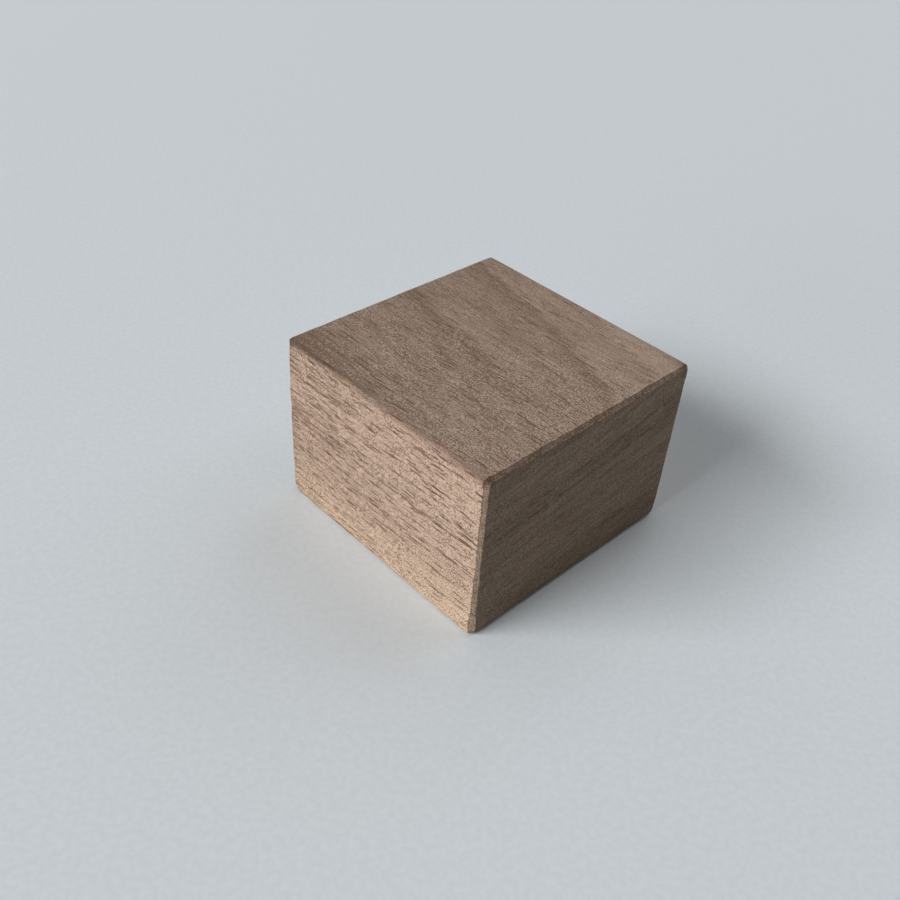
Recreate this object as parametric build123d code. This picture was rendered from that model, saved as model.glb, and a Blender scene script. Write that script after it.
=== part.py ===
from build123d import *
import os

# A small low block of solid walnut, sawn square from a planed board and eased by hand.
# Lengths are in millimetres. X runs along the grain, so the end-grain faces look along -X and +X.
# The origin is at the middle of the face that the block rests on, and +Z is up.

# The block's overall size
length_along_grain = 30.0
width_across_grain = 30.0
board_thickness = 20.7

# The eased arrises
end_chamfer = 0.42          # flat sanded round the rim of each end-grain face, measured along each face
end_corner_radius = 0.2     # at the four corners of the flat part of an end-grain face

# The arrises along the grain are rounded over. At each end the chamfer takes its own width
# off their round, and what is left of it is the corner's radius on the end face.
long_arris_radius = end_corner_radius + end_chamfer


def board_section():
    """The section across the grain, at the -X end: the board's width by its thickness, corners rounded."""
    outline = RectangleRounded(width_across_grain, board_thickness, long_arris_radius)
    section_plane = Plane.YZ.offset(-length_along_grain / 2)
    return section_plane * Pos(0, board_thickness / 2) * outline


def end_rims(blank):
    """The edges round both end-grain faces, each rim a closed loop of straight runs and corner arcs."""
    faces_along_grain = blank.faces().sort_by(Axis.X)
    end_faces = [faces_along_grain[0], faces_along_grain[-1]]
    return [edge for face in end_faces for edge in face.edges()]


def wooden_block():
    """The section carried along the grain, with a flat chamfer round each end."""
    blank = extrude(board_section(), length_along_grain)
    return chamfer(end_rims(blank), end_chamfer)


os.makedirs("parts", exist_ok=True)
export_step(wooden_block(), "parts/wooden_block.step")
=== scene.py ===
import math
from types import SimpleNamespace

import bpy
import numpy as np
from mathutils import Matrix, Vector


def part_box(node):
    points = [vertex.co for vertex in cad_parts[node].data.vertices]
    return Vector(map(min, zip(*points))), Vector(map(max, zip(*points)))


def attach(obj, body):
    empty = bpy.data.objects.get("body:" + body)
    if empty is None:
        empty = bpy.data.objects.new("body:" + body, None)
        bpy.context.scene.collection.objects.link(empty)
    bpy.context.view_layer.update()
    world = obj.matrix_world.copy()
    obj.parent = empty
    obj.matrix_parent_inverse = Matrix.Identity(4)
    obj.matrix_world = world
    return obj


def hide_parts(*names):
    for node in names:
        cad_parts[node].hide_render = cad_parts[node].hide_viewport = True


# A small low block of bare walnut on a pale table, lit softly from one side.
# X runs along the grain, so the end-grain faces look along -X and +X.
# Lengths of the block and the camera's place are in millimetres, and become metres where they are written.
# The table and the lamps are in metres.

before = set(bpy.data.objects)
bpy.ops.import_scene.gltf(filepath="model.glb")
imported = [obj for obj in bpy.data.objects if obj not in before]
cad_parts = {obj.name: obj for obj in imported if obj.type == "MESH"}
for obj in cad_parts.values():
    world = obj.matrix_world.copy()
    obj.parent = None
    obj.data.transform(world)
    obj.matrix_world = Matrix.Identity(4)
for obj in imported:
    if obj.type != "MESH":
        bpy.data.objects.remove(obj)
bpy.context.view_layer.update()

MM = 0.001
SEED = 11

# The block's size, from the frame
block_low, block_high = (np.array(corner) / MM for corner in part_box("wooden_block"))
length, width, height = (block_high - block_low).tolist()

# The eased arrises, as on the solid
end_chamfer = 0.42
end_corner_radius = 0.2
long_arris_radius = end_corner_radius + end_chamfer

# How unevenly the chamfers were sanded
chamfer_share = 0.94                    # of the solid's chamfer, before it strays and wears
chamfer_softness = 0.04                 # rounding of the two lines that bound it
corner_softness = (0.22, 0.06)          # what is added to that at the corners, at the foot and at the top
corner_soft_reach = 1.3                 # how far up or down from a corner
chamfer_wander_share = 0.06             # how far its width strays, as a share of it
chamfer_wander_waves = (2, 40)          # the fewest waves of that round the block, and one past the most
chamfer_foot_share = 0.28               # how much wider it is at the foot of an upright arris
chamfer_waist_share = 0.22              # and how much narrower halfway up
chamfer_worn_shares = (0.45, 0.0)       # how much wider at the top of the arris at -X, -Y and at +X, -Y
chamfer_worn_from = 0.72                # the share of the height where that wear begins
burr_heights = (0.012, 0.022)           # torn fibres where the chamfer meets the end grain, at -X and at +X
burr_spread = 0.06                      # how far across the rim they reach
burr_waves = (120, 420)                 # the fewest of them round the block, and one past the most
burr_gain = 1.2                         # what their waves are multiplied by
burr_threshold = 0.2                    # the lower waves leave no fibre standing

# How unevenly the long arrises, the corners and the faces were sanded
crisp_radius = 0.22                     # of the sharpest stretches of the long arrises
crisp_shares = (0.7, 0.4, 0.85, 0.0)    # how near to that, from -Y foot by +Y foot and +Y top to -Y top
crisp_end = (-3.0, -10.0)               # along X, where the top arris at -Y turns from round to sharp
corner_wear_reach = 0.75                # how far from a corner it is worn
corner_wear_top = 0.02                  # how deep at the top
corner_wear_foot = 0.17                 # and at the foot
face_wave_depth = 0.012
face_wave_length = 11.0
face_wave_spread = (0.7, 1.5)           # the shortest and the longest wave, as shares of that length
face_wave_count = 24
stain_reach_flat = 0.55                 # how far the handled arris is stained, on the top and the foot
stain_reach_upright = 1.10              # and on the upright sides

# The mesh: fine steps across the grain, where the vessels are narrow, and long ones along it.
# The end faces take every third point of the section, so both counts divide by it.
points_across = 297
points_up = 204
end_face_step = 3
steps_along = 56
rim_steps = 11
rim_reach_long = 0.62                   # from the middle of the chamfer, on to the long-grain face
rim_reach_end = 0.38                    # and on to the end face
rim_way_limit = 2.0                     # of the way across the rim: -1 and 1 are the chamfer's two lines
layout_gap = 1.0                        # between the pieces of the flat layout

# The four sides of the section: the foot, +Y, the top and -Y
side_counts = (points_across, points_up, points_across, points_up)
side_of_point = np.repeat(np.arange(4), side_counts)

# The growth rings, counted by their height at the middle of the block. Tone 0 is pale, 1 is dark.
ring_lean = (0.035, 0.100)              # rise of a ring along X and along Y
ring_lean_more = (0.020, 0.060)         # what is added to that rise at the top of the block
ring_lean_from = 11.0                   # the height where that begins
ring_bow = 0.0008                       # how far the rings bend up, for the square of X
ring_span = 26.0                        # the ring height of the last tone
ring_heights = (
    0.0, 2.4, 4.2, 5.3, 6.3, 7.0, 8.0, 9.1, 10.2, 11.2, 12.0, 12.8, 13.6, 14.5, 15.2, 15.9,
    16.9, 18.2, 19.2, 19.3, 19.48, 20.0, 20.88, 20.98, 21.18, 21.8, 22.6, 23.3, 23.48, 23.8, 24.6, 26.0)
ring_tones = (
    0.47, 0.49, 0.32, 0.02, 0.20, 0.33, 0.22, 0.49, 0.24, 0.36, 0.24, 0.75, 0.55, 0.73, 0.24, 0.04,
    0.32, 0.04, 0.08, 1.00, 0.55, 0.28, 0.12, 1.00, 0.42, 0.18, 0.22, 0.75, 1.00, 0.85, 0.50, 0.30)
ring_lines = (2.3, 4.3, 7.0, 9.1, 11.2, 12.8, 14.5, 16.9, 19.3, 21.0, 23.5)     # with large vessels in rows
row_rings = (12.8, 14.5)                # these two also show as single files of dots on the ends

# The large vessels, open tubes that run along the fibres
fibre_rise = (0.040, 0.039)             # of the fibres along Y and Z, for each millimetre of X
vessel_tries = 1500
vessel_least_share = 0.30               # of those tries, in the palest wood; all of them in the darkest
vessel_row_tries = 700
vessel_row_scatter = 0.14               # of a row's vessels about the height of its ring
vessel_row_rounds = 4                   # of working out a row's height, which the ring's lean depends on
vessel_radii = (0.045, 0.085)
vessel_size_chance = 0.6                # how far a vessel's size is chance; its ring gives the rest
vessel_flat_share = 0.95                # of that radius, on the top and the foot
vessel_break = (2.0, 5.5)               # a vessel narrows again and again, about this far apart
vessel_swell = (0.75, 0.45)             # its radius on the way: this share of it, and so much more or less
vessel_margin = 2.0                     # how far past the faces they are strewn
vessel_wander = 0.14                    # of a vessel's middle line, to either side
vessel_wave = (6.0, 15.0)               # the shortest and the longest wave of that wander
vessel_edge = 0.05                      # over which the rim of a vessel fades
vessel_depth_share = 1.3                # of how far a point is inside the tube
vessel_search = 1.6                     # how near to a face a vessel has to stand to be open
vessel_arris_loss = 0.8                 # the share of a vessel that sanding took off the long arrises


def plane_waves(places, wavelength, count, random):
    """Soft unevenness about zero: cosine waves of about one length, in random directions and phases.

    They are added up and divided by the root of their number."""
    directions = random.normal(size=(count, places.shape[-1]))
    directions /= np.linalg.norm(directions, axis=1, keepdims=True)
    lengths = wavelength * random.uniform(*face_wave_spread, count)
    phases = random.uniform(0, 2 * np.pi, count)
    turns = places @ (directions / lengths[:, None]).T * 2 * np.pi
    return np.cos(turns + phases).sum(-1) / math.sqrt(count)


def loop_waves(share, fewest, most, random):
    """Unevenness round a closed loop: a sum of cosines in whole waves, of random heights and phases."""
    counts = np.arange(fewest, most)
    heights = random.normal(size=counts.size) / math.sqrt(counts.size)
    phases = random.uniform(0, 2 * np.pi, counts.size)
    return np.cos(2 * np.pi * share[:, None] * counts + phases) @ heights


def smooth_step(value, low, high):
    """From 0 at low to 1 at high, level at both ends: three squares less two cubes of the way."""
    share = np.clip((value - low) / (high - low), 0, 1)
    return share * share * (3 - 2 * share)


def soft_ramp(distance, softness):
    """Nothing below zero and the distance above it, with the corner between the two rounded.

    It is half the sum of the distance and the root of its square plus the square of the softness."""
    return (distance + np.sqrt(distance ** 2 + softness ** 2)) / 2


def section_side(radius, side, half, outward, along, count):
    """One side of the section with half of the round at each end, in even steps of arc length.

    The angle is zero on the straight run and grows with arc length over radius on the rounds."""
    straight = side - 2 * radius
    half_round = radius * math.pi / 4
    arc = np.linspace(0, straight + 2 * half_round, count, endpoint=False)
    angle = np.minimum(arc - half_round, 0) + np.maximum(arc - half_round - straight, 0)
    angle /= radius
    run = np.clip(arc - half_round, 0, straight) - straight / 2
    normal = np.sin(angle)[:, None] * along + np.cos(angle)[:, None] * outward
    middle = run[:, None] * along + (half - radius) * outward
    return middle + radius * normal, normal, arc


def section(radius):
    """The section across the grain, a rounded rectangle, as places, outward directions and arc lengths.

    It goes round from the corner at -Y and the foot, by the foot, +Y, the top and -Y."""
    right, up = np.array([1.0, 0.0]), np.array([0.0, 1.0])
    sides = [
        section_side(radius, width, height / 2, -up, right, points_across),
        section_side(radius, height, width / 2, right, up, points_up),
        section_side(radius, width, height / 2, up, -right, points_across),
        section_side(radius, height, width / 2, -right, -up, points_up),
    ]
    places, normals, arcs = (np.concatenate(parts) for parts in zip(*sides))
    places += np.array([0, height / 2])
    return places, normals, arcs


def rim_profile(half_widths, softness):
    """The chamfer's profile for each point of the section: how far back from the end, and how far in.

    Along the path across the rim both are sums of two soft ramps, which start at the chamfer's two lines:
    a slope of one over root two on the chamfer, and of one on the face beyond it."""
    path = np.linspace(-rim_reach_long, rim_reach_end, rim_steps)[:, None]
    on_chamfer = math.sqrt(0.5)
    beyond = 1 - on_chamfer

    def both(signed):
        """The two ramps added: one from the near line of the chamfer, one from its far line."""
        near = soft_ramp(signed + half_widths, softness)
        far = soft_ramp(signed - half_widths, softness)
        return on_chamfer * near + beyond * far

    return both(-path), both(path), path


def sanded_rims(outline, normals, random):
    """The rims of the ends at -X and at +X, for each step across the rim and each point of the section.

    A chamfer's width strays as waves round the block, twice as far on the upright arrises. There it grows
    towards the foot, draws in halfway up as a parabola, and is worn wider at the top of one of them.
    Torn fibres stand as a bell curve about its line at the end grain.
    A rim is how far back, how far in, the fibres' height, and the way across in chamfer half widths."""
    round_share = np.arange(len(outline)) / len(outline)
    up = outline[:, 1]
    upright = normals[:, 0] ** 2
    up_share = np.clip(up / height, 0, 1)
    foot = np.clip(1 - up / height, 0, 1) * np.abs(normals[:, 0])
    waist = 4 * up_share * (1 - up_share) * upright
    worn_top = smooth_step(up, chamfer_worn_from * height, height) * np.clip(-normals[:, 0], 0, 1)
    at_corner = corner_softness[0] * smooth_step(up, corner_soft_reach, 0)
    at_corner = at_corner + corner_softness[1] * smooth_step(height - up, corner_soft_reach, 0)
    softness = chamfer_softness + upright * at_corner

    rims = []
    for worn_share, burr_height in zip(chamfer_worn_shares, burr_heights):
        waves = loop_waves(round_share, *chamfer_wander_waves, random)
        stray = chamfer_wander_share * (1 + upright) * waves
        shares = chamfer_share + stray + chamfer_foot_share * foot - chamfer_waist_share * waist
        shares = shares + worn_share * worn_top
        half_widths = end_chamfer * math.sqrt(0.5) * shares
        back, inset, path = rim_profile(half_widths, softness)
        burr = np.clip(loop_waves(round_share, *burr_waves, random) * burr_gain - burr_threshold, 0, 1)
        burr = burr_height * burr * np.exp(-((path - half_widths) / burr_spread) ** 2)
        rims.append((back, inset, burr, path / half_widths))
    return rims


def arris_stain(arcs):
    """How far each point of the section is stained by handling.

    All of it at the middle of an arris, and less with the arc length from there, to none at the reach."""
    side_length = np.array([arcs[side_of_point == side].max() for side in range(4)])[side_of_point]
    from_arris = np.minimum(arcs, np.abs(side_length - arcs))
    reach = np.where(side_of_point % 2 == 1, stain_reach_upright, stain_reach_flat)
    return smooth_step(from_arris, reach, 0)


def ring_lean_at(x, y, z):
    """How far a ring has risen at (x, y): a leaning plane, steeper to the top, and a bow by x squared."""
    share = smooth_step(z, ring_lean_from, height)
    rise_x = ring_lean[0] + ring_lean_more[0] * share
    rise_y = ring_lean[1] + ring_lean_more[1] * share
    return rise_x * x + rise_y * y + ring_bow * x ** 2


def vessel_places(random):
    """Where the vessels stand at the middle of the block, and how wide they are.

    They are strewn evenly and kept more often in dark rings, and others stand in rows on the ring lines.
    Only those near a face are given, because no other can be open."""
    y_range = (-width / 2 - vessel_margin, width / 2 + vessel_margin)
    y = random.uniform(*y_range, vessel_tries)
    z = random.uniform(-vessel_margin, height + vessel_margin, vessel_tries)
    tone = np.interp(z - ring_lean_at(0, y, z), ring_heights, ring_tones)
    kept = random.random(vessel_tries) < vessel_least_share + (1 - vessel_least_share) * tone

    row_y = random.uniform(*y_range, vessel_row_tries)
    row_ring = random.choice(ring_lines, vessel_row_tries)
    row_ring = row_ring + random.normal(0, vessel_row_scatter, vessel_row_tries)
    row_z = row_ring.copy()
    for _ in range(vessel_row_rounds):
        row_z = row_ring + ring_lean_at(0, row_y, row_z)

    places = np.c_[np.r_[y[kept], row_y], np.r_[z[kept], row_z]]
    tones = np.r_[tone[kept], np.ones(vessel_row_tries)]
    share = random.beta(2, 2, len(places)) * vessel_size_chance + (1 - vessel_size_chance) * tones
    radii = vessel_radii[0] + (vessel_radii[1] - vessel_radii[0]) * share
    from_side = np.abs(np.abs(places[:, 0]) - width / 2)
    from_top = np.abs(np.abs(places[:, 1] - height / 2) - height / 2)
    near = np.minimum(from_side, from_top) < vessel_search
    return places[near], radii[near]


def vessels_cut(stations, places, upright, random):
    """How far the open vessels cover each point of the surface, and how deep they cut it.

    A vessel's middle line climbs with the fibres and wanders as a sine, and its radius swells and narrows
    as another. A point nearer to the line than the radius lies in the open tube, and is as deep as it is
    nearer."""
    middles, radii = vessel_places(random)
    count = len(radii)
    waves = random.uniform(*vessel_wave, (count, 2))
    phases = random.uniform(0, 2 * np.pi, (count, 2))
    breaks = random.uniform(*vessel_break, count)
    break_phases = random.uniform(0, 2 * np.pi, count)
    share = (vessel_flat_share + (1 - vessel_flat_share) * upright)[:, None]
    cover = np.zeros(places.shape[:2])
    depth = np.zeros(places.shape[:2])
    for i, x in enumerate(stations):
        swing = vessel_wander * np.sin(2 * np.pi * x / waves + phases)
        at_x = (middles + np.array(fibre_rise) * x + swing).astype(np.float32)
        points = places[i, :, 1:].astype(np.float32)
        apart = np.hypot(points[:, None, 0] - at_x[:, 0], points[:, None, 1] - at_x[:, 1])
        swell = vessel_swell[0] + vessel_swell[1] * np.sin(2 * np.pi * x / breaks + break_phases)
        inside = radii * swell * share - apart
        cover[i] = np.clip(inside / vessel_edge + 0.5, 0, 1).max(1)
        depth[i] = np.clip(inside, 0, None).max(1) * vessel_depth_share
    return cover, depth


def end_face(ring):
    """A flat end as a Coons patch between the four sides of its rim, on every third point of it.

    Returns the inner points, and a function that lists the faces once their numbers are known."""
    across, up = points_across // end_face_step, points_up // end_face_step
    coarse = ring[::end_face_step]
    closed = np.concatenate([coarse, coarse[:1]])
    foot = closed[: across + 1]
    right = closed[across: across + up + 1]
    top = closed[across + up: 2 * across + up + 1][::-1]
    left = closed[2 * across + up:][::-1]
    u = np.linspace(0, 1, across + 1)[:, None, None]
    v = np.linspace(0, 1, up + 1)[None, :, None]
    patch = (1 - v) * foot[:, None] + v * top[:, None] + (1 - u) * left[None] + u * right[None]
    patch -= (1 - u) * (1 - v) * foot[0] + u * (1 - v) * foot[-1]
    patch -= (1 - u) * v * top[0] + u * v * top[-1]
    inner = patch[1:-1, 1:-1]

    def faces(rim_numbers, first_inner):
        """Squares inside, six-sided faces along the rim and eight-sided ones at its corners."""
        grid = first_inner + np.arange(inner.shape[0] * inner.shape[1]).reshape(inner.shape[:2])
        squares = np.stack([grid[:-1, :-1], grid[1:, :-1], grid[1:, 1:], grid[:-1, 1:]], -1)
        steps = np.arange(len(coarse))
        column = np.r_[np.arange(across), np.full(up, across), np.arange(across, 0, -1), np.zeros(up, int)]
        row = np.r_[np.zeros(across, int), np.arange(up), np.full(across, up), np.arange(up, 0, -1)]
        inward = grid[np.clip(column, 1, across - 1) - 1, np.clip(row, 1, up - 1) - 1]
        corners = np.array([0, across, across + up, 2 * across + up])
        plain = ~np.isin(steps, corners) & ~np.isin((steps + 1) % len(coarse), corners)
        start = steps[plain]

        def rim(step, extra):
            """The numbers of the rim's points, so many on from a coarse step, counted round."""
            return rim_numbers[(step * end_face_step + extra) % len(rim_numbers)]

        along = [rim(start, extra) for extra in range(end_face_step + 1)]
        sixes = np.stack(along + [inward[(start + 1) % len(coarse)], inward[start]], -1)
        around = [rim(corners, extra) for extra in range(-end_face_step, end_face_step + 1)]
        eights = np.stack(around + [inward[corners]], -1)
        return [squares.reshape(-1, 4), sixes, eights]

    return inner.reshape(-1, 3), faces


def block_surface():
    """The whole block: the section carried along the grain and drawn in by the rims, and two flat ends.

    Every point then sinks along its outward direction by its vessel's groove, the wave of the face and the
    wear of its corner, less the torn fibres. Returns the points, the faces, what the finish needs to know
    of each point, and the flat layout."""
    random = np.random.default_rng(SEED)
    outline, outline_normals, arcs = section(long_arris_radius)
    crisp_outline = section(crisp_radius)[0]
    count = len(outline)

    low_rim, high_rim = sanded_rims(outline, outline_normals, random)
    low_back, low_inset, low_burr, low_way = low_rim
    high_back, high_inset, high_burr, high_way = high_rim
    low_x = -length / 2 + low_back[::-1]
    high_x = length / 2 - high_back
    shares = np.linspace(0, 1, steps_along + 1)[1:-1, None]
    middle_x = (1 - shares) * low_x[-1] + shares * high_x[0]
    x = np.concatenate([low_x, middle_x, high_x])
    inset = np.concatenate([low_inset[::-1], 0 * middle_x, high_inset])
    burr = np.concatenate([low_burr[::-1], 0 * middle_x, high_burr])
    rim_way = np.concatenate([low_way[::-1], np.full_like(middle_x, -rim_way_limit), high_way])
    rim_way[[rim_steps - 1, -rim_steps]] = -rim_way_limit
    inset -= inset.min(0)

    # The long arrises: part of the way from the round section to the crisp one
    corners = np.cumsum([0, *side_counts])
    crisp = np.interp(np.arange(count), corners, (*crisp_shares, crisp_shares[0]))
    top_arris = np.interp(np.arange(count), corners[2:], (0, 1, 0))
    crisp = np.clip(crisp + top_arris * smooth_step(x, *crisp_end), 0, 1)[..., None]
    places = np.empty(x.shape + (3,))
    places[..., 0] = x
    places[..., 1:] = (1 - crisp) * outline + crisp * crisp_outline - inset[..., None] * outline_normals

    run = np.gradient(x, axis=0)
    draw = np.gradient(inset, axis=0)
    steep = np.hypot(run, draw)
    normals = np.empty_like(places)
    normals[..., 0] = draw / steep
    normals[..., 1:] = (run / steep)[..., None] * outline_normals

    upright = outline_normals[:, 0] ** 2
    cover, cut = vessels_cut(x.mean(1), places, upright, random)
    flat_share = (run / steep) ** 2
    stain = arris_stain(arcs)
    cover *= flat_share * (1 - vessel_arris_loss * stain)
    cut *= flat_share * (1 - vessel_arris_loss * stain)
    stain = flat_share * stain
    upright = flat_share * upright

    low_inner, low_faces = end_face(places[0])
    high_inner, high_faces = end_face(places[-1])
    grid_points = places.shape[0] * count
    points = np.concatenate([places.reshape(-1, 3), low_inner, high_inner])
    outward = np.concatenate([
        normals.reshape(-1, 3),
        np.tile([-1.0, 0.0, 0.0], (len(low_inner), 1)),
        np.tile([1.0, 0.0, 0.0], (len(high_inner), 1)),
    ])
    nothing = np.zeros(len(low_inner) + len(high_inner))
    groove = np.r_[cut.ravel(), nothing]
    burr = np.r_[burr.ravel(), nothing]
    rim_way = np.clip(rim_way, -rim_way_limit, rim_way_limit)
    traits = {
        "vessel": np.r_[cover.ravel(), nothing],
        "end_grain": np.abs(outward[:, 0]),
        "rim_way": np.r_[rim_way.ravel(), nothing + rim_way_limit],
        "stain": np.r_[stain.ravel(), nothing],
        "upright": np.r_[upright.ravel(), nothing],
    }

    wave = plane_waves(points, face_wave_length, face_wave_count, random)
    from_corner = np.abs(points - np.array([0, 0, height / 2])) - np.array([length, width, height]) / 2
    worn = np.exp(-(from_corner ** 2).sum(1) / corner_wear_reach ** 2)
    worn *= np.where(points[:, 2] < height / 2, corner_wear_foot, corner_wear_top)
    sink = groove + face_wave_depth * (1 + wave) / 2 + worn - burr
    points = np.clip(points - sink[:, None] * outward, block_low, block_high)

    numbers = np.arange(grid_points).reshape(places.shape[:2])
    beside = np.roll(numbers, -1, axis=1)
    strips = np.stack([numbers[:-1], beside[:-1], beside[1:], numbers[1:]], -1)
    faces = [strips.reshape(-1, 4)]
    faces += [part[:, ::-1] for part in low_faces(numbers[0], grid_points)]
    faces += high_faces(numbers[-1], grid_points + len(low_inner))
    return points, faces, traits, bake_map(places, arcs, points, faces)


def bake_map(places, arcs, points, faces):
    """A flat layout of the surface for baking: the four long-grain sides and the two ends on one sheet.

    A side runs along the grain and round the section by arc length. An end is laid out as it is."""
    path = np.linalg.norm(np.diff(places.mean(1), axis=0), axis=1)
    rim_path = np.linspace(-rim_reach_long, rim_reach_end, rim_steps)
    path[: rim_steps - 1] = np.diff(rim_path)
    path[-(rim_steps - 1):] = np.diff(rim_path)
    along = np.r_[0, np.cumsum(path)]
    arc_step = np.array([arcs[side_of_point == side][1] for side in range(4)])[side_of_point]
    across_sheet = along[-1] + layout_gap
    flat_side, upright_side = (arcs[side_of_point == side].max() + layout_gap for side in (0, 1))
    side_u = np.array([0, 0, across_sheet, across_sheet])[side_of_point]
    side_v = np.array([0, flat_side, 0, flat_side])[side_of_point]

    u0, u1 = along[:-1, None] + side_u, along[1:, None] + side_u
    v0, v1 = side_v + arcs + 0 * u0, side_v + arcs + arc_step + 0 * u0
    sides = np.stack([np.stack(pair, -1) for pair in ((u0, v0), (u0, v1), (u1, v1), (u1, v0))], 2)

    end_v = flat_side + upright_side
    corners = [sides.reshape(-1, 2)]
    for part in faces[1:]:
        flat = points[part.ravel()][:, 1:] + np.array([width / 2, end_v])
        flat[:, 0] += across_sheet * (points[part.ravel(), 0] > 0)
        corners.append(flat)
    sheet = max(2 * across_sheet, end_v + height)
    return (np.concatenate(corners) + layout_gap / 2) / (sheet + layout_gap)


def write_block():
    """Puts the surface into a mesh object, with its traits as attributes and its layout as a map."""
    points, faces, traits, layout = block_surface()
    mesh = bpy.data.meshes.new("walnut_block")
    mesh.from_pydata((points * MM).tolist(), [], [face for part in faces for face in part.tolist()])
    mesh.polygons.foreach_set("use_smooth", np.ones(len(mesh.polygons), bool))
    for name, values in traits.items():
        mesh.attributes.new(name, "FLOAT", "POINT").data.foreach_set("value", values.astype(np.float32))
    mesh.uv_layers.new(name="OFBake").data.foreach_set("uv", layout.astype(np.float32).ravel())
    mesh.update()
    block = bpy.data.objects.new("walnut_block", mesh)
    bpy.context.scene.collection.objects.link(block)
    return block


def new_material(name):
    """An empty node material with its output and one shader."""
    material = bpy.data.materials.new(name)
    material.use_nodes = True
    tree = material.node_tree
    tree.nodes.clear()
    output = tree.nodes.new("ShaderNodeOutputMaterial")
    shader = tree.nodes.new("ShaderNodeBsdfPrincipled")
    tree.links.new(shader.outputs["BSDF"], output.inputs["Surface"])
    return material, tree, shader


def put(tree, kind, inputs, **settings):
    """A node with its settings, and its inputs set to values or linked to other nodes' outputs."""
    node = tree.nodes.new(kind)
    for name, value in settings.items():
        setattr(node, name, value)
    for name, value in inputs.items():
        if isinstance(value, bpy.types.NodeSocket):
            tree.links.new(value, node.inputs[name])
        else:
            node.inputs[name].default_value = value
    return node


def sums(tree, operation, first, second=0.0, third=0.0):
    """One sum on numbers or outputs."""
    inputs = {0: first, 1: second, 2: third}
    return put(tree, "ShaderNodeMath", inputs, operation=operation).outputs[0]


def plus(tree, first, second):
    """The first and the second added."""
    return sums(tree, "ADD", first, second)


def less(tree, first, second):
    """The first less the second."""
    return sums(tree, "SUBTRACT", first, second)


def times(tree, first, second):
    """The first times the second."""
    return sums(tree, "MULTIPLY", first, second)


def grown(tree, start, value, gain):
    """The start, and the value times the gain added to it."""
    return sums(tree, "MULTIPLY_ADD", value, gain, start)


def vectors(tree, operation, first, second):
    """One sum on vectors: the vector that it gives, or the number."""
    node = put(tree, "ShaderNodeVectorMath", {0: first, 1: second}, operation=operation)
    return node.outputs["Value" if operation in ("DOT_PRODUCT", "DISTANCE") else "Vector"]


def eased(tree, value, low, high, to_low=0.0, to_high=1.0):
    """The value's way from low to high, eased at both ends."""
    inputs = {"Value": value, "From Min": low, "From Max": high, "To Min": to_low, "To Max": to_high}
    return put(tree, "ShaderNodeMapRange", inputs, interpolation_type="SMOOTHSTEP").outputs["Result"]


def noise(tree, place, cells, detail, roughness=0.5, output="Fac"):
    """Soft noise about 0.5 at a place, with so many cells to a millimetre or other unit along each axis."""
    inputs = {
        "Vector": vectors(tree, "MULTIPLY", place, cells),
        "Scale": 1.0,
        "Detail": detail,
        "Roughness": roughness,
    }
    return put(tree, "ShaderNodeTexNoise", inputs).outputs[output]


def swung(tree, start, pattern, reach):
    """The start, moved up and down by a pattern of noise over this whole reach."""
    return grown(tree, start, less(tree, pattern, noise_middle), reach)


def blended(tree, share, first, second, blend="MIX"):
    """The first colour with this share of the second mixed in, or multiplied in.

    A Mix node has its colours on inputs 6 and 7 and on output 2."""
    node = put(tree, "ShaderNodeMix", {"Factor": share}, data_type="RGBA", blend_type=blend)
    for socket, colour in zip((node.inputs[6], node.inputs[7]), (first, second)):
        if isinstance(colour, bpy.types.NodeSocket):
            tree.links.new(colour, socket)
        else:
            socket.default_value = (*colour, 1.0)
    return node.outputs[2]


def trait(tree, name):
    """One of the block's own attributes."""
    return put(tree, "ShaderNodeAttribute", {}, attribute_name=name).outputs["Fac"]


# The colours of the wood, as bare surfaces
pale_wood = (0.570, 0.442, 0.350)
pink_wood = (0.574, 0.432, 0.346)
# Straw colour low on the upright sides: partly the wood's own colour, partly painted warm bounce light from
# the table
straw_wood_and_bounce = (0.665, 0.523, 0.398)
dark_wood = (0.178, 0.110, 0.069)
pore_shade = (0.115, 0.062, 0.038)
torn_fibre = (0.58, 0.46, 0.36)

# Tints that the wood is multiplied by
# The upright sides' tint: partly their own colour, partly painted light matching their lit side
side_tint_with_painted_light = (1.0, 0.9375, 0.895)
# The end grain darker and warmer: partly its own colour, partly painted shade fitted to the end face in
# shade
end_grain_tint_and_shade = (0.645, 0.615, 0.545)
chamfer_shade = (0.85, 0.82, 0.775)
chamfer_streak_shade = (0.84, 0.82, 0.80)
top_rim_shade = (0.92, 0.88, 0.86)
line_shade = (0.54, 0.48, 0.44)
under_rim_shade = (0.92, 0.90, 0.85)
stain_shade = (0.60, 0.55, 0.525)
corner_spots = (
    # Place, reach and tint
    # A darker spot at the back corner of the top at +X
    ((length / 2, width / 2, height), 2.0, (0.38, 0.31, 0.27)),
    ((length / 2, -width / 2, height - 0.2), 1.5, (0.76, 0.64, 0.61)),
    ((-length / 2, -width / 2, height), 2.2, (0.60, 0.52, 0.50)),
)
spot_raggedness = 0.8                   # how far the patches move the edge of a spot

# Noise in the wood: cells to a millimetre along X, Y and Z, or along the fibres and twice across them
noise_middle = 0.5
wander_cells = (0.05, 0.12, 0.12)       # of the fibres' wander
wander_reach = 1.2
ripple_cells = (0.06, 0.16, 0.16)       # of the rings' ripple
ripple_height = 0.7
streak_cells = (0.07, 1.6, 1.6)
fleck_cells = (0.7, 6.0, 6.0)
speck_cells = (5.8, 7.2, 7.2)
fine_roughness = 0.6                    # of the flecks and the specks
mottle_cells = (0.10, 0.25, 2.2)        # along X, along Y and by ring height
patch_cells = (0.45, 0.7, 0.7)
hue_cells = (0.05, 0.22, 0.22)
hue_edges = (0.35, 0.65)

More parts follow.
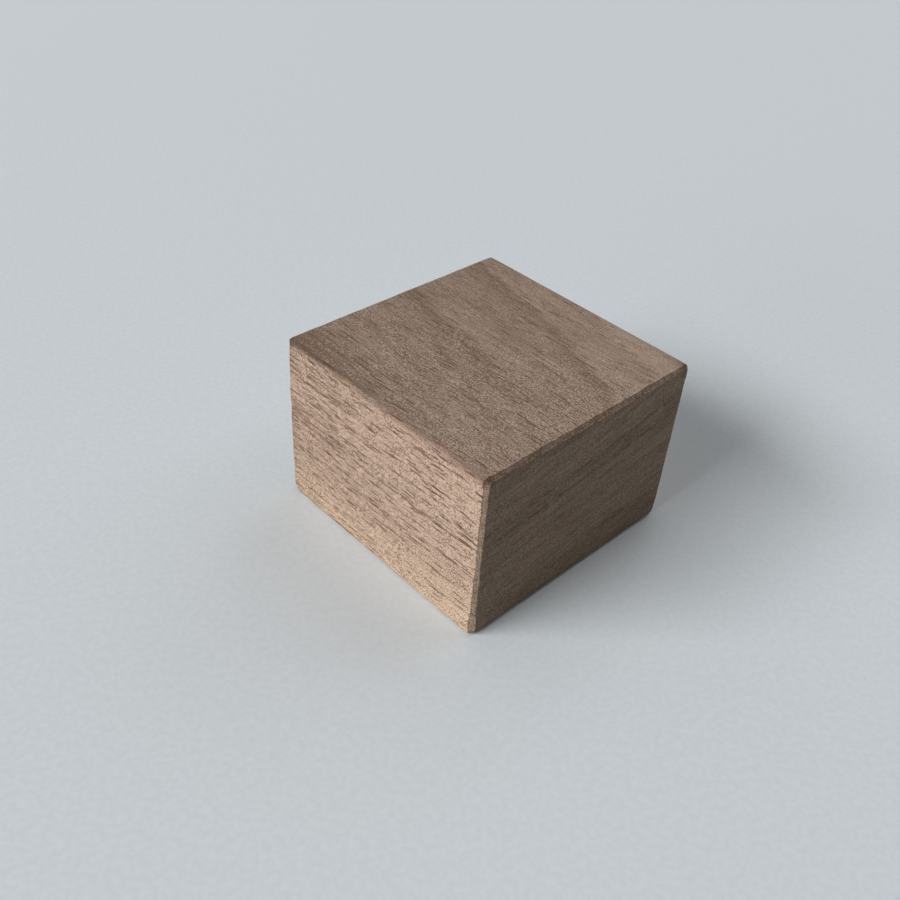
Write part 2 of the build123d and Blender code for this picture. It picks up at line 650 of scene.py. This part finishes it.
# The short vessels, or pores. Radii are in cells.
pore_cells = (0.30, 4.7, 4.7)           # of them to a millimetre, along the fibres and across
flat_pore_cells = (0.18, 4.4, 4.4)      # and on the top and the foot, where they are cut longer
pore_row_gap = 0.9                      # of ring height, from one row of them to the next
pore_radius = 0.115
pore_radius_chance = 0.32               # what chance adds to it
pore_row_swell = 0.10                   # what a row adds to it, or a gap between rows takes off
pore_ring_swell = 0.08                  # what a dark ring adds
pore_low_rings = (11.0, 4.0)            # from the first ring where pores get fewer, down to the last
pore_low_loss = 0.11                    # what is taken off the radius there
pore_flat_share = 0.70                  # of the radius, on the top and the foot
pore_front_reach = (6.0, -12.0)         # along Y on the top and the foot, from the back to the front
pore_front_swell = (-0.045, 0.055)      # what is added there, at the back and at the front
pore_widest = 0.26
pore_side_widest = 0.13                 # how much wider they may be on the sides and the ends
pore_edge = 0.05                        # over which the rim of a pore fades, either way
pore_fill = 0.72                        # how dark the least of them is
pore_fill_chance = 0.45
pore_darkest = 0.97
pore_end_loss = 0.75                    # how much fainter they are on the ends
vessel_darkness = 0.90

# The single files of dots on the ends: pores that are wider and clearer than the rest
row_edge = (0.20, 0.05)                 # from the ring's height, where a file ends and where it is whole
row_end_faces = (0.85, 1.0)             # how square to the grain the surface has to be
row_patches = (0.38, 0.52)              # of the patches: where a file begins, and where it is whole
dot_swell = 0.16                        # what a file adds to the radius
dot_widest = 0.14                       # and to how wide a pore may be
dot_end_gain = 0.65                     # and what it gives back of the loss on the ends

# How dark the wood is, from 0, the pale wood, to 1, the dark
darkness = 0.59
ring_darkness = 0.28                    # what a dark ring adds
side_paleness_with_painted_light = 0.345                   # what is taken off on the upright sides: partly their own paler grain, partly painted light
front_rings = (22.9, 23.5)              # the dark rings at the front of the top
front_darkness = 0.12
darkness_along = -0.0034                # what each millimetre along X adds
darkness_along_side = -0.006            # and adds to that on the upright sides
# Painted bounce light: the upright sides are paler near the table
foot_bounce_reach = (3.5, 0.5)            # up from the table, on the upright sides: painted bounce light from the table
foot_bounce_light = 0.09
row_darkness = 0.08                     # what a row of pores adds on the upright sides
straw_and_bounce_rings = (8.5, 2.0)                # where the straw colour begins, and where it is whole: partly wood colour, partly painted bounce light
streak_rings = (22.8, 23.5)             # streaks are weak before these rings and strong beyond them
streak_strengths = (0.4, 1.4)
fleck_strength = 0.85
fleck_end_more = 0.70
mottle_strength = 0.5
mottle_end_more = 0.30
speck_strength = 3.3
speck_end_more = -1.3
speck_side_more = 2.5
speck_front_way = (0.4, -1.0, 0.0)      # the way to the front, along which the specks get clearer
speck_front_reach = (-8.0, 4.0)
speck_front_shares = (0.55, 1.0)
speck_stain_loss = 0.55

# The rim of an end, by the way across it: -1 at the chamfer's line on the long grain, 1 on the end grain
ragged_by_speck = 0.7
ragged_by_patch = 0.4
rim_line = (0.85, 1.15)                 # where one tone turns into the next, either side of a line
top_rim_depths = (1.0, 0.4)             # below the top: where the tone of its rim begins, and is whole
under_rim_depths = (1.6, 0.7)           # the same for the end grain under that rim
dark_line_place = -0.95
dark_line_edge = (0.35, 0.05)
torn_fibre_place = 0.85
torn_fibre_edge = (0.30, 0.05)
torn_patches = (0.40, 0.56)
torn_specks = (0.48, 0.60)
chamfer_streaks = (0.42, 0.60)          # of the streaks: where their shade begins, and where it is whole

# The stain of the handled arrises: patchy, and weaker low on the block and at its back
stain_patches = (0.20, 0.55)
stain_patch_shares = (0.55, 1.0)
stain_heights = (4.0, 14.0)
stain_height_shares = (0.15, 1.0)
stain_front_reach = (6.0, -6.0)         # along Y
stain_front_shares = (0.3, 1.0)

# How dull the wood is, and its fine relief
wood_roughness = 0.58
fleck_roughness = 0.18
pore_roughness = 0.12
wood_specular = 0.3
fleck_relief = 0.5
speck_relief = 0.5
pore_relief = 0.8
relief_strength = 0.6
relief_depth = 0.03


def fibre_place(tree, place, x):
    """The place along the fibres: less what they have climbed by here, with a slow wander across them."""
    wander = noise(tree, place, wander_cells, detail=1.0, output="Color")
    wander = vectors(tree, "SUBTRACT", wander, (noise_middle, noise_middle, noise_middle))
    wander = vectors(tree, "MULTIPLY", wander, (0, wander_reach, wander_reach))
    climb_y = times(tree, x, fibre_rise[0])
    climb_z = times(tree, x, fibre_rise[1])
    climb = put(tree, "ShaderNodeCombineXYZ", {"Y": climb_y, "Z": climb_z}).outputs[0]
    return vectors(tree, "ADD", vectors(tree, "SUBTRACT", place, climb), wander)


def ring_height(tree, place, x, z):
    """The ring's height at the middle of the block: the height here less its lean and bow, and a ripple.

    The lean grows towards the top, as ring_lean_at has it."""
    plain = vectors(tree, "DOT_PRODUCT", place, (-ring_lean[0], -ring_lean[1], 1.0))
    more = vectors(tree, "DOT_PRODUCT", place, (-ring_lean_more[0], -ring_lean_more[1], 0.0))
    ring = grown(tree, plain, more, eased(tree, z, ring_lean_from, height))
    ring = grown(tree, ring, times(tree, x, x), -ring_bow)
    return swung(tree, ring, noise(tree, place, ripple_cells, detail=2.0), ripple_height)


def ring_tone(tree, ring):
    """The tone of the ring at a height, straight from each of the ring tones to the next."""
    tones = put(tree, "ShaderNodeValToRGB", {"Fac": sums(tree, "DIVIDE", ring, ring_span)})
    stops = tones.color_ramp.elements
    for number, (stop_height, tone) in enumerate(zip(ring_heights, ring_tones)):
        stop = stops[number] if number < len(stops) else stops.new(1.0)
        stop.position = stop_height / ring_span
        stop.color = (tone, tone, tone, 1.0)
    return tones.outputs["Color"]


def grain(tree):
    """What the finish is drawn from: the place in the block, its rings and fibres, noise and its traits."""
    wood = SimpleNamespace()
    coordinates = put(tree, "ShaderNodeTexCoord", {}).outputs["Object"]
    wood.place = vectors(tree, "MULTIPLY", coordinates, (1 / MM, 1 / MM, 1 / MM))
    wood.x, wood.y, wood.z = put(tree, "ShaderNodeSeparateXYZ", {0: wood.place}).outputs
    wood.fibre = fibre_place(tree, wood.place, wood.x)
    wood.ring = ring_height(tree, wood.place, wood.x, wood.z)
    wood.tone = ring_tone(tree, wood.ring)
    wood.row_wave = sums(tree, "SINE", times(tree, wood.ring, 2 * math.pi / pore_row_gap))

    wood.end_grain = trait(tree, "end_grain")
    wood.upright = trait(tree, "upright")
    wood.vessel = trait(tree, "vessel")
    wood.rim_way = trait(tree, "rim_way")
    wood.stain = trait(tree, "stain")
    wood.on_side = sums(tree, "MAXIMUM", wood.upright, wood.end_grain)

    by_ring = put(tree, "ShaderNodeCombineXYZ", {"X": wood.x, "Y": wood.y, "Z": wood.ring}).outputs[0]
    wood.streak = noise(tree, wood.fibre, streak_cells, detail=3.0)
    wood.fleck = noise(tree, wood.fibre, fleck_cells, detail=2.0, roughness=fine_roughness)
    wood.speck = noise(tree, wood.fibre, speck_cells, detail=2.0, roughness=fine_roughness)
    wood.mottle = noise(tree, by_ring, mottle_cells, detail=3.0)
    wood.patch = noise(tree, wood.place, patch_cells, detail=2.0)
    wood.hue = noise(tree, wood.fibre, hue_cells, detail=1.0)
    return wood


def dotted_rows(tree, wood):
    """Single files of dots on the end faces: close to the height of two rings, and broken up by patches."""
    rows = []
    for row_height in row_rings:
        beyond = sums(tree, "ABSOLUTE", less(tree, wood.ring, row_height))
        rows.append(eased(tree, beyond, *row_edge))
    row = sums(tree, "MAXIMUM", *rows)
    row = times(tree, row, eased(tree, wood.end_grain, *row_end_faces))
    return times(tree, row, eased(tree, wood.patch, *row_patches))


def short_pores(tree, wood):
    """The short vessels: long cells, each open where it is nearer to its middle than a radius of its own.

    The radius is partly chance. It swells in rows that follow the rings, in dark rings and in the files of
    dots, and is less low on the block and at the back of its top."""
    row = dotted_rows(tree, wood)
    side_place = vectors(tree, "MULTIPLY", wood.fibre, pore_cells)
    flat_place = vectors(tree, "MULTIPLY", wood.fibre, flat_pore_cells)
    side_cells = put(tree, "ShaderNodeTexVoronoi", {"Vector": side_place, "Scale": 1.0}).outputs
    flat_cells = put(tree, "ShaderNodeTexVoronoi", {"Vector": flat_place, "Scale": 1.0}).outputs
    lots = blended(tree, wood.on_side, flat_cells["Color"], side_cells["Color"])
    size_lot, fill_lot, _ = put(tree, "ShaderNodeSeparateColor", {0: lots}).outputs
    further = less(tree, side_cells["Distance"], flat_cells["Distance"])
    from_middle = grown(tree, flat_cells["Distance"], further, wood.on_side)

    radius = grown(tree, pore_radius, size_lot, pore_radius_chance)
    radius = grown(tree, radius, wood.row_wave, pore_row_swell)
    radius = grown(tree, radius, wood.tone, pore_ring_swell)
    radius = plus(tree, radius, eased(tree, wood.ring, *pore_low_rings, 0.0, -pore_low_loss))
    radius = grown(tree, radius, row, dot_swell)
    radius = times(tree, radius, grown(tree, pore_flat_share, wood.on_side, 1 - pore_flat_share))
    front_swell = eased(tree, wood.y, *pore_front_reach, *pore_front_swell)
    radius = grown(tree, radius, front_swell, less(tree, 1.0, wood.on_side))
    widest = grown(tree, pore_widest, wood.on_side, pore_side_widest)
    widest = grown(tree, widest, row, dot_widest)
    radius = sums(tree, "MINIMUM", radius, widest)

    pore = eased(tree, less(tree, radius, from_middle), -pore_edge, pore_edge)
    end_change = grown(tree, -pore_end_loss, row, dot_end_gain)
    pore = times(tree, pore, grown(tree, 1.0, wood.end_grain, end_change))
    return times(tree, pore, grown(tree, pore_fill, fill_lot, pore_fill_chance))


def wood_darkness(tree, wood):
    """How dark the wood is: a sum of its ring, its side, its place along the grain and four noises."""
    dark = grown(tree, darkness, wood.tone, ring_darkness)
    # The upright sides paler: partly their own grain, partly painted light
    dark = grown(tree, dark, wood.upright, -side_paleness_with_painted_light)
    dark = plus(tree, dark, eased(tree, wood.ring, *front_rings, 0.0, front_darkness))
    dark = grown(tree, dark, wood.x, grown(tree, darkness_along, wood.upright, darkness_along_side))
    # Painted bounce light from the table: the upright sides paler near the foot
    dark = grown(tree, dark, eased(tree, wood.z, *foot_bounce_reach, 0.0, -foot_bounce_light), wood.upright)
    dark = grown(tree, dark, times(tree, wood.row_wave, wood.upright), row_darkness)

    to_front = vectors(tree, "DOT_PRODUCT", wood.place, speck_front_way)
    specks = grown(tree, speck_strength, wood.end_grain, speck_end_more)
    specks = grown(tree, specks, wood.upright, speck_side_more)
    specks = times(tree, specks, eased(tree, to_front, *speck_front_reach, *speck_front_shares))
    specks = times(tree, specks, grown(tree, 1.0, wood.stain, -speck_stain_loss))
    patterns = (
        (wood.streak, eased(tree, wood.ring, *streak_rings, *streak_strengths)),
        (wood.fleck, grown(tree, fleck_strength, wood.end_grain, fleck_end_more)),
        (wood.speck, specks),
        (wood.mottle, grown(tree, mottle_strength, wood.end_grain, mottle_end_more)),
    )
    for pattern, strength in patterns:
        dark = swung(tree, dark, pattern, strength)
    return dark


def rim_colours(tree, wood, body):
    """The rim: the tones of end grain, partly painted shade, and of the chamfer, a dark line at the long
    grain, torn fibres at the end.

    Each is placed by the way across the rim, made ragged by the specks and the patches."""
    ragged = swung(tree, wood.rim_way, wood.speck, ragged_by_speck)
    ragged = swung(tree, ragged, wood.patch, ragged_by_patch)
    inner, outer = rim_line
    on_end = eased(tree, ragged, inner, outer)
    # End grain darkened: partly its own colour, partly painted shade
    body = blended(tree, on_end, body, end_grain_tint_and_shade, "MULTIPLY")
    under_rim = times(tree, on_end, eased(tree, wood.z, *(height - depth for depth in under_rim_depths)))
    body = blended(tree, under_rim, body, under_rim_shade, "MULTIPLY")
    on_chamfer = times(tree, eased(tree, ragged, -outer, -inner), eased(tree, ragged, outer, inner))
    body = blended(tree, on_chamfer, body, chamfer_shade, "MULTIPLY")
    streaked = times(tree, on_chamfer, eased(tree, wood.streak, *chamfer_streaks))
    body = blended(tree, streaked, body, chamfer_streak_shade, "MULTIPLY")
    near_top = eased(tree, wood.z, *(height - depth for depth in top_rim_depths))
    body = blended(tree, times(tree, on_chamfer, near_top), body, top_rim_shade, "MULTIPLY")

    from_line = sums(tree, "ABSOLUTE", less(tree, ragged, dark_line_place))
    body = blended(tree, eased(tree, from_line, *dark_line_edge), body, line_shade, "MULTIPLY")
    from_fibres = sums(tree, "ABSOLUTE", less(tree, ragged, torn_fibre_place))
    torn = eased(tree, from_fibres, *torn_fibre_edge)
    torn = times(tree, torn, eased(tree, wood.patch, *torn_patches))
    torn = times(tree, torn, eased(tree, wood.speck, *torn_specks))
    return blended(tree, torn, body, torn_fibre)


def stain_and_corner_spots(tree, wood, body):
    """The stain that handling left along the arrises, and a darker ragged spot at three corners of the top.
    """
    handled = times(tree, wood.stain, eased(tree, wood.patch, *stain_patches, *stain_patch_shares))
    handled = times(tree, handled, eased(tree, wood.z, *stain_heights, *stain_height_shares))
    handled = times(tree, handled, eased(tree, wood.y, *stain_front_reach, *stain_front_shares))
    body = blended(tree, handled, body, stain_shade, "MULTIPLY")
    near = spot_raggedness / 2
    for corner, reach, tint in corner_spots:
        away = grown(tree, vectors(tree, "DISTANCE", wood.place, corner), wood.patch, spot_raggedness)
        body = blended(tree, eased(tree, away, near + reach, near), body, tint, "MULTIPLY")
    return body


def walnut():
    """Bare sanded walnut, a solid pattern through the block: its colour, dullness and fine relief."""
    material, tree, shader = new_material("bare_walnut")
    wood = grain(tree)
    pore = short_pores(tree, wood)

    body = blended(tree, eased(tree, wood.hue, *hue_edges), pink_wood, pale_wood)
    # Straw colour on the lower rings of the upright sides: partly wood colour, partly painted bounce light
    straw = times(tree, wood.upright, eased(tree, wood.ring, *straw_and_bounce_rings))
    body = blended(tree, straw, body, straw_wood_and_bounce)
    # The upright sides tinted: partly their own colour, partly painted light
    body = blended(tree, wood.upright, body, side_tint_with_painted_light, "MULTIPLY")
    body = blended(tree, wood_darkness(tree, wood), body, dark_wood)
    body = blended(tree, sums(tree, "MINIMUM", pore, pore_darkest), body, pore_shade)
    body = blended(tree, times(tree, wood.vessel, vessel_darkness), body, pore_shade)
    body = rim_colours(tree, wood, body)
    body = stain_and_corner_spots(tree, wood, body)
    tree.links.new(body, shader.inputs["Base Color"])

    rough = grown(tree, wood_roughness, wood.fleck, fleck_roughness)
    rough = grown(tree, rough, pore, pore_roughness)
    tree.links.new(rough, shader.inputs["Roughness"])
    shader.inputs["Specular IOR Level"].default_value = wood_specular

    relief = grown(tree, times(tree, wood.speck, speck_relief), wood.fleck, fleck_relief)
    relief = grown(tree, relief, pore, -pore_relief)
    bump = put(tree, "ShaderNodeBump", {
        "Height": relief,
        "Strength": relief_strength,
        "Distance": relief_depth * MM,
    })
    tree.links.new(bump.outputs["Normal"], shader.inputs["Normal"])
    return material


# The table
table_colour = (0.80, 0.855, 0.890)
table_speckle_share = 0.955             # how dark its darkest specks are
table_speckle_cells = 1.6               # to a millimetre
table_speckle_edges = (0.3, 0.7)
table_roughness = 0.7
table_specular = 0.2
table_side = 16.0
table_gap = 0.01                        # in millimetres, below the foot of the block

# The light
lamp_way = 6.0                          # from the block
lamps = (
    # Name, azimuth from +Y towards +X, elevation, width and height in metres, power in watts
    ("window", 199.0, 35.0, 4.2, 1.8, 283.0),
    ("low_wall", 186.0, 8.0, 5.0, 1.6, 100.0),
    ("back_board", 0.0, 46.0, 6.8, 5.4, 122.0),
    ("side_board", 270.0, 40.0, 6.8, 5.4, 33.0),
)
fill_colour = (1.0, 1.0, 1.0)
fill_strength = 0.01
backdrop_colour = (0.565, 0.616, 0.640)

# The camera
camera_place = (60.08, -66.19, 78.53)
camera_target = (0.51, -5.17, 10.37)
camera_roll = math.radians(4.35)
camera_lens = 40.53
camera_sensor = 36.0


def table():
    """A plain pale table top, a flat square, with the faint speckle of painted board."""
    side = table_side / 2
    corners = [(-side, -side, 0), (side, -side, 0), (side, side, 0), (-side, side, 0)]
    mesh = bpy.data.meshes.new("table")
    mesh.from_pydata(corners, [], [(0, 1, 2, 3)])
    top = bpy.data.objects.new("table", mesh)
    top.location.z = -table_gap * MM
    bpy.context.scene.collection.objects.link(top)
    material, tree, shader = new_material("pale_table")
    coordinates = put(tree, "ShaderNodeTexCoord", {}).outputs["Object"]
    cells = table_speckle_cells / MM
    speckle = noise(tree, coordinates, (cells, cells, cells), detail=2.0)
    dark_speck = [table_speckle_share * part for part in table_colour]
    colour = blended(tree, eased(tree, speckle, *table_speckle_edges), dark_speck, table_colour)
    tree.links.new(colour, shader.inputs["Base Color"])
    shader.inputs["Roughness"].default_value = table_roughness
    shader.inputs["Specular IOR Level"].default_value = table_specular
    mesh.materials.append(material)


def soft_lamp(name, azimuth, elevation, wide, high, power):
    """One large soft lamp, as a window, a wall or a white board would be, turned to the block."""
    lamp = bpy.data.lights.new(name, "AREA")
    lamp.shape = "RECTANGLE"
    lamp.size = wide
    lamp.size_y = high
    lamp.energy = power
    way = math.radians(azimuth)
    lift = math.radians(elevation)
    back = Vector((math.sin(way) * math.cos(lift), math.cos(way) * math.cos(lift), math.sin(lift)))
    light = bpy.data.objects.new(name, lamp)
    light.location = back * lamp_way
    light.rotation_mode = "QUATERNION"
    light.rotation_quaternion = back.to_track_quat("Z", "Y")
    bpy.context.scene.collection.objects.link(light)


def room():
    """Dim light from all round, and a pale backdrop for what the camera sees past the table."""
    world = bpy.data.worlds.new("room")
    world.use_nodes = True
    tree = world.node_tree
    tree.nodes.clear()
    path = put(tree, "ShaderNodeLightPath", {})
    seen = sums(tree, "MAXIMUM", path.outputs["Is Camera Ray"], path.outputs["Is Glossy Ray"])
    seen = sums(tree, "MAXIMUM", seen, path.outputs["Is Transmission Ray"])
    fill = put(tree, "ShaderNodeBackground", {"Color": (*fill_colour, 1.0), "Strength": fill_strength})
    backdrop = put(tree, "ShaderNodeBackground", {"Color": (*backdrop_colour, 1.0), "Strength": 1.0})
    mixed = put(tree, "ShaderNodeMixShader", {0: seen, 1: fill.outputs[0], 2: backdrop.outputs[0]})
    output = tree.nodes.new("ShaderNodeOutputWorld")
    tree.links.new(mixed.outputs[0], output.inputs["Surface"])
    bpy.context.scene.world = world


def camera():
    """The photograph's view: its place, the point that it looks at, and its roll about that line."""
    data = bpy.data.cameras.new("camera")
    data.lens = camera_lens
    data.sensor_width = camera_sensor
    data.clip_start = MM
    eye = bpy.data.objects.new("camera", data)
    place, target = Vector(camera_place) * MM, Vector(camera_target) * MM
    turn = (target - place).to_track_quat("-Z", "Y").to_matrix().to_4x4()
    eye.matrix_world = Matrix.Translation(place) @ turn @ Matrix.Rotation(camera_roll, 4, "Z")
    bpy.context.scene.collection.objects.link(eye)
    bpy.context.scene.camera = eye


block = write_block()
block.data.materials.append(walnut())
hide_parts("wooden_block")
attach(block, "root")

table()
for lamp in lamps:
    soft_lamp(*lamp)
room()
camera()
bpy.context.scene.view_settings.view_transform = "Standard"
